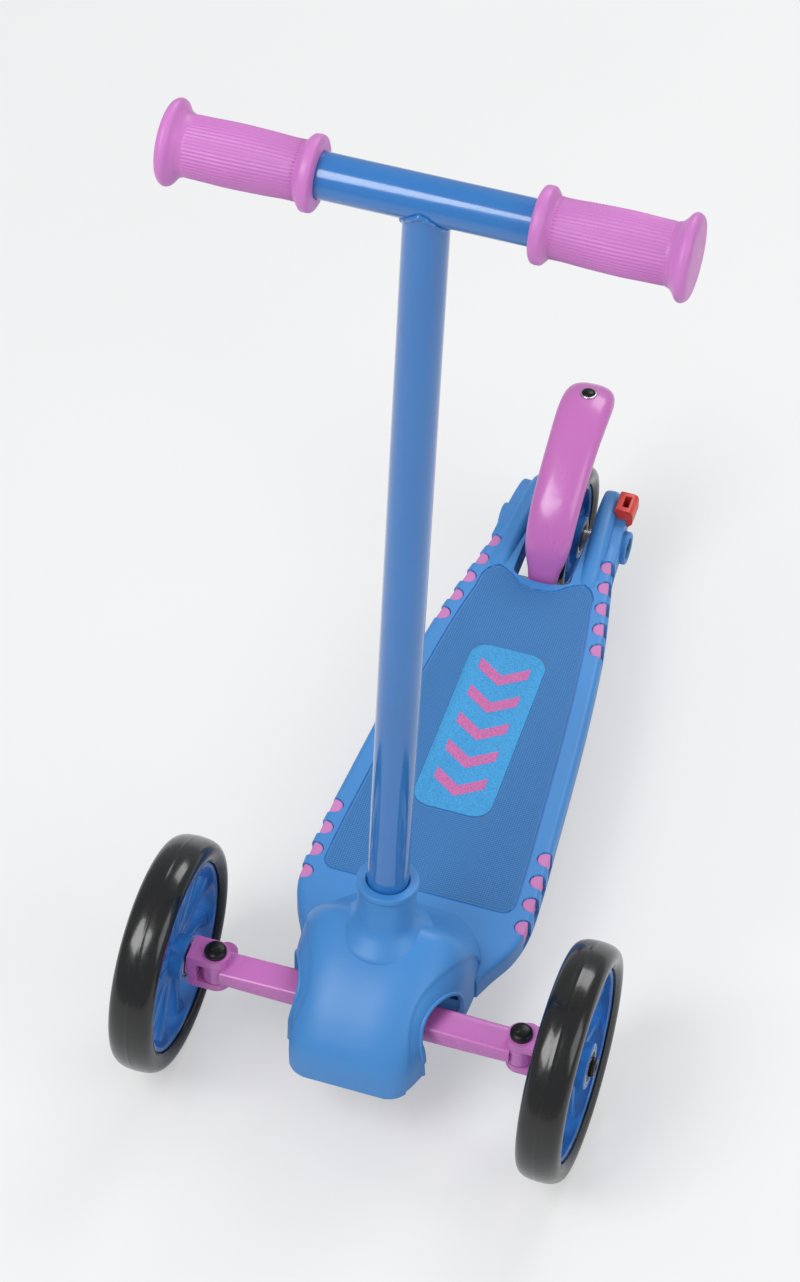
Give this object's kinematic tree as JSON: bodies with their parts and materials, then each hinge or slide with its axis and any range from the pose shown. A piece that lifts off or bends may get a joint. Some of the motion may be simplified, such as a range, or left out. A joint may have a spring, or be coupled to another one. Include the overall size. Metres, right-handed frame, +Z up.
{
  "type": "three wheel kids scooter",
  "caption": "Child's kick scooter that steers by leaning: large front wheels on a rocking beam, a small rear wheel under a foot brake, a ribbed deck and a T handle that lifts out.",
  "frame": {"origin": "on the floor, under the middle of the scooter's bounding box", "axes": "+Z up, -Y forwards in the riding direction, +X to the rider's left"},
  "size_m": [0.2906, 0.573, 0.6735],
  "materials": {
    "deck_plastic": "injection moulded, satin, with a fine woven texture on the deck's panel",
    "rim_plastic": "injection moulded, glossy",
    "magenta_plastic": "injection moulded, glossy",
    "pad_rubber": "soft, satin",
    "grip_rubber": "soft, with fine lengthwise ribs",
    "tyre_black": "cast, smooth and glossy",
    "clip_red": "satin",
    "grit": "rough printed grit film",
    "stem_paint": "powder coated, semi-gloss",
    "bright_steel": "zinc plated",
    "black_steel": "black oxide",
    "brake_black": "satin",
    "block_rubber": "matt"
  },
  "bodies": {
    "deck": {"deck": "deck_plastic", "side_pads_rear_left": "pad_rubber", "side_pads_rear_right": "pad_rubber", "side_pads_front_left": "pad_rubber", "side_pads_front_right": "pad_rubber", "grit_patch": "grit", "arm_clip": "clip_red", "nose_cover": "deck_plastic", "lean_bolt": "bright_steel", "lean_nut": "bright_steel", "drive_pin": "bright_steel", "centring_block_left": "block_rubber", "centring_block_right": "block_rubber", "rear_axle_bolt": "black_steel", "rear_axle_nut": "bright_steel", "rear_spacer_left": "bright_steel", "rear_spacer_right": "bright_steel", "brake_spring": "bright_steel", "brake_hinge_pin": "bright_steel"},
    "front_axle": {"axle_beam": "magenta_plastic", "king_pin_left": "black_steel", "king_pin_right": "black_steel"},
    "tie_rod": {"tie_rod": "black_steel"},
    "knuckle_left": {"knuckle_left": "magenta_plastic", "wheel_bolt_left": "black_steel"},
    "knuckle_right": {"knuckle_right": "magenta_plastic", "wheel_bolt_right": "black_steel"},
    "front_wheel_left": {"front_wheel_left_tyre": "tyre_black", "front_wheel_left_rim": "rim_plastic", "front_wheel_left_bearing_left": "bright_steel", "front_wheel_left_bearing_right": "bright_steel"},
    "front_wheel_right": {"front_wheel_right_tyre": "tyre_black", "front_wheel_right_rim": "rim_plastic", "front_wheel_right_bearing_left": "bright_steel", "front_wheel_right_bearing_right": "bright_steel"},
    "rear_wheel": {"rear_wheel_tyre": "tyre_black", "rear_wheel_rim": "rim_plastic", "rear_wheel_bearing_left": "bright_steel", "rear_wheel_bearing_right": "bright_steel"},
    "brake": {"brake_fender": "magenta_plastic", "brake_pad": "brake_black", "brake_rivet": "black_steel"},
    "handle": {"handlebar": "stem_paint", "grip_left": "grip_rubber", "grip_right": "grip_rubber", "stem_plug": "block_rubber", "snap_spring": "bright_steel"},
    "release_button": {"release_button": "deck_plastic"}
  },
  "joints": [
    {"name": "lean", "type": "hinge", "parent": "deck", "child": "front_axle", "pos_m": [0, -0.2115, 0.075], "axis": [0, 1, 0], "range_deg": [-9, 9], "stiffness_Nm_per_rad": 40, "deforming": ["centring_block_left", "centring_block_right"]},
    {"name": "tie_rod_slide", "type": "slide", "parent": "front_axle", "child": "tie_rod", "axis": [1, 0, 0], "range_m": [-0.0036, 0.0036]},
    {"name": "steer_left", "type": "hinge", "parent": "front_axle", "child": "knuckle_left", "pos_m": [0.098, -0.2115, 0.075], "axis": [0, 0, 1], "range_deg": [-11.5, 11.5]},
    {"name": "steer_right", "type": "hinge", "parent": "front_axle", "child": "knuckle_right", "pos_m": [-0.098, -0.2115, 0.075], "axis": [0, 0, 1], "range_deg": [-11.5, 11.5]},
    {"name": "front_wheel_left_spin", "type": "hinge", "parent": "knuckle_left", "child": "front_wheel_left", "pos_m": [0.129, -0.2115, 0.075], "axis": [1, 0, 0], "continuous": true},
    {"name": "front_wheel_right_spin", "type": "hinge", "parent": "knuckle_right", "child": "front_wheel_right", "pos_m": [-0.129, -0.2115, 0.075], "axis": [1, 0, 0], "continuous": true},
    {"name": "rear_wheel_spin", "type": "hinge", "parent": "deck", "child": "rear_wheel", "pos_m": [0, 0.2185, 0.05], "axis": [1, 0, 0], "continuous": true},
    {"name": "brake_press", "type": "hinge", "parent": "deck", "child": "brake", "pos_m": [0, 0.163, 0.058], "axis": [-1, 0, 0], "range_deg": [0, 15], "stiffness_Nm_per_rad": 2, "springref_deg": -17.19, "deforming": ["brake_spring"]},
    {"name": "handle_lift", "type": "slide", "parent": "deck", "child": "handle", "axis": [0, 0.1392, 0.9903], "range_m": [0, 0.06], "deforming": ["snap_spring"]},
    {"name": "release_press", "type": "slide", "parent": "deck", "child": "release_button", "axis": [0, -0.9903, 0.1392], "range_m": [0, 0.0029], "stiffness_N_per_m": 800, "springref_m": -0.003}
  ],
  "couplings": [
    {"joint": "tie_rod_slide", "follows": "lean", "m_per_rad": 0.0225},
    {"joint": "steer_left", "follows": "lean", "ratio": -1.25},
    {"joint": "steer_right", "follows": "lean", "ratio": -1.25}
  ]
}
